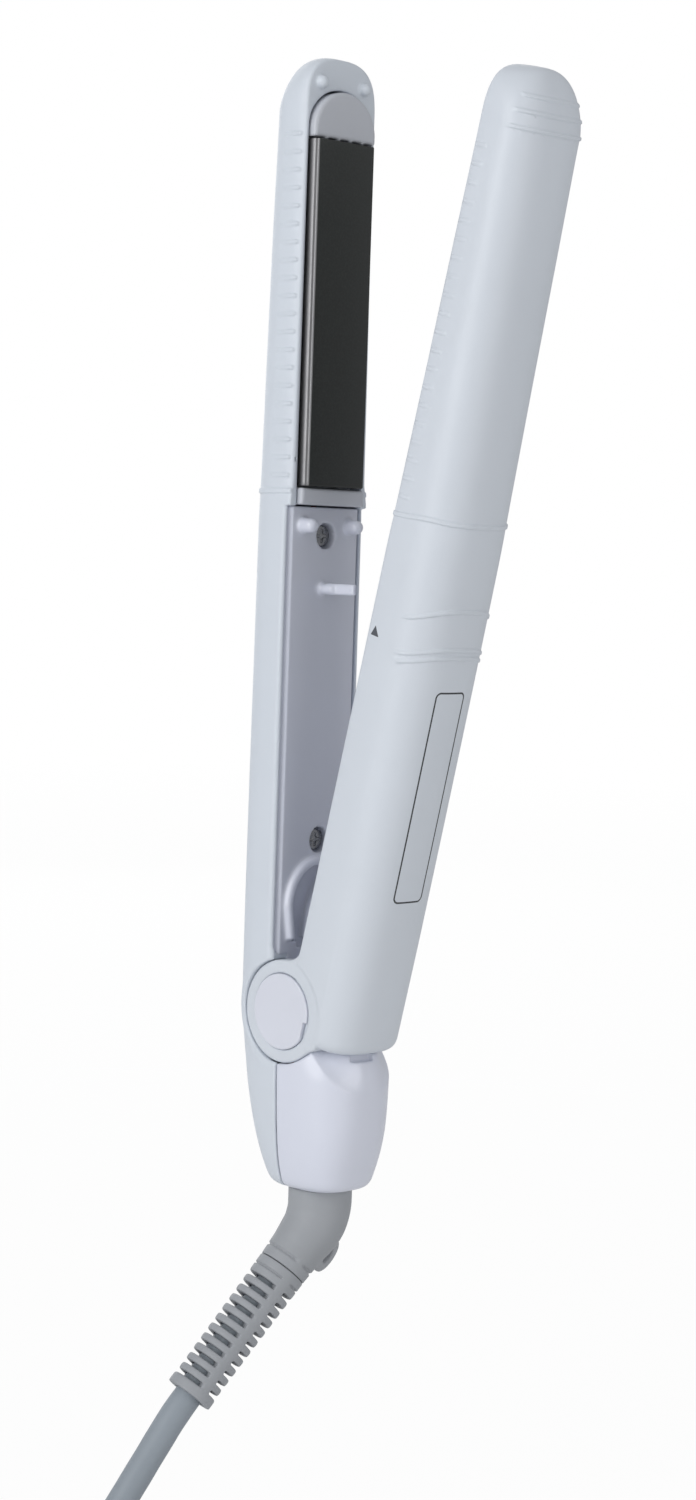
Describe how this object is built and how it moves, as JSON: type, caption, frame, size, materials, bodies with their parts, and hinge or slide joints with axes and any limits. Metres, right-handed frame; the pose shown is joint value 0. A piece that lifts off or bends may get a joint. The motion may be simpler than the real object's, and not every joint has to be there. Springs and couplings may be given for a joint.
{
  "type": "hair straightening iron",
  "caption": "Compact two-arm hair straightener: two hinged arms with floating heater plates, sprung open, and an angled swivelling cord with a slotted strain relief.",
  "frame": {"origin": "centre of the outer flat face of the near hinge cap; the hinge axis passes through it along Y", "axes": "+Z along the main arm from the hinge to its tip, Y along the hinge axis with -Y out of the near cap, +X from the main arm towards the swing arm"},
  "size_m": [0.0726, 0.0612, 0.2949],
  "materials": {
    "shell_matte": "fine satin moulded plastic",
    "cover_gloss": "smooth glossy moulded plastic",
    "cap_satin": "smooth satin moulded plastic",
    "carrier_plastic": "smooth heat-resistant plastic",
    "plate_coating": "charcoal ceramic coating on aluminium",
    "steel": "zinc plated steel",
    "aluminium": "mill finish",
    "heater_ceramic": "matt ceramic",
    "silicone": "matt silicone",
    "board_laminate": "circuit board laminate",
    "dark_plastic": "matt",
    "switch_plastic": "fine matt",
    "light_guide": "clear tinted",
    "wire_red": "smooth",
    "wire_blue": "smooth",
    "relief_rubber": "fine matt moulded",
    "cord_jacket": "smooth matt",
    "copper": "bare stranded wire"
  },
  "bodies": {
    "main_arm": {"main_shell": "shell_matte", "main_inner_cover": "cover_gloss", "main_plate_carrier": "carrier_plastic", "main_plate_pad_upper": "silicone", "main_plate_pad_lower": "silicone", "main_cover_screw_upper": "steel", "main_cover_screw_lower": "steel", "hinge_pin": "steel", "hinge_retaining_clip": "steel", "hinge_spring": "steel", "control_board": "board_laminate", "switch_body": "dark_plastic", "indicator_light_guide": "light_guide", "thermal_fuse": "aluminium", "main_heater_lead_live": "wire_red", "main_heater_lead_neutral": "wire_blue", "mains_lead_live": "wire_red", "mains_lead_neutral": "wire_blue", "swivel_retainer": "dark_plastic"},
    "main_plate": {"main_heater_plate": "plate_coating", "main_heater_element": "heater_ceramic", "main_element_clamp": "aluminium"},
    "power_switch": {"switch_knob": "switch_plastic"},
    "swing_arm": {"swing_shell": "shell_matte", "swing_inner_cover": "cover_gloss", "swing_plate_carrier": "carrier_plastic", "swing_plate_pad_upper": "silicone", "swing_plate_pad_lower": "silicone", "swing_cover_screw_upper": "steel", "swing_cover_screw_lower": "steel", "hinge_cap_near": "cap_satin", "hinge_cap_far": "cap_satin", "swing_heater_lead_live": "wire_red", "swing_heater_lead_neutral": "wire_blue"},
    "swing_plate": {"swing_heater_plate": "plate_coating", "swing_heater_element": "heater_ceramic", "swing_element_clamp": "aluminium"},
    "cord": {"cord_elbow": "relief_rubber", "strain_relief_sleeve": "relief_rubber", "power_cord": "cord_jacket", "cord_conductor_live": "copper", "cord_conductor_neutral": "copper"}
  },
  "joints": [
    {"name": "arm_hinge", "type": "hinge", "parent": "main_arm", "child": "swing_arm", "pos_m": [0, 0.01119, 0], "axis": [0, 1, 0], "range_deg": [-13.8, 0]},
    {"name": "main_plate_float", "type": "slide", "parent": "main_arm", "child": "main_plate", "axis": [-1, 0, 0], "range_m": [0, 0.0006], "stiffness_N_per_m": 2000},
    {"name": "swing_plate_float", "type": "slide", "parent": "swing_arm", "child": "swing_plate", "axis": [0.9711, 0, -0.2385], "range_m": [0, 0.0006], "stiffness_N_per_m": 2000},
    {"name": "power_switch_slide", "type": "slide", "parent": "main_arm", "child": "power_switch", "axis": [0, 0, 1], "range_m": [0, 0.004]},
    {"name": "cord_swivel", "type": "hinge", "parent": "main_arm", "child": "cord", "pos_m": [0.002, 0.01119, -0.037], "axis": [0, 0, 1], "range_deg": [-170, 170]}
  ]
}
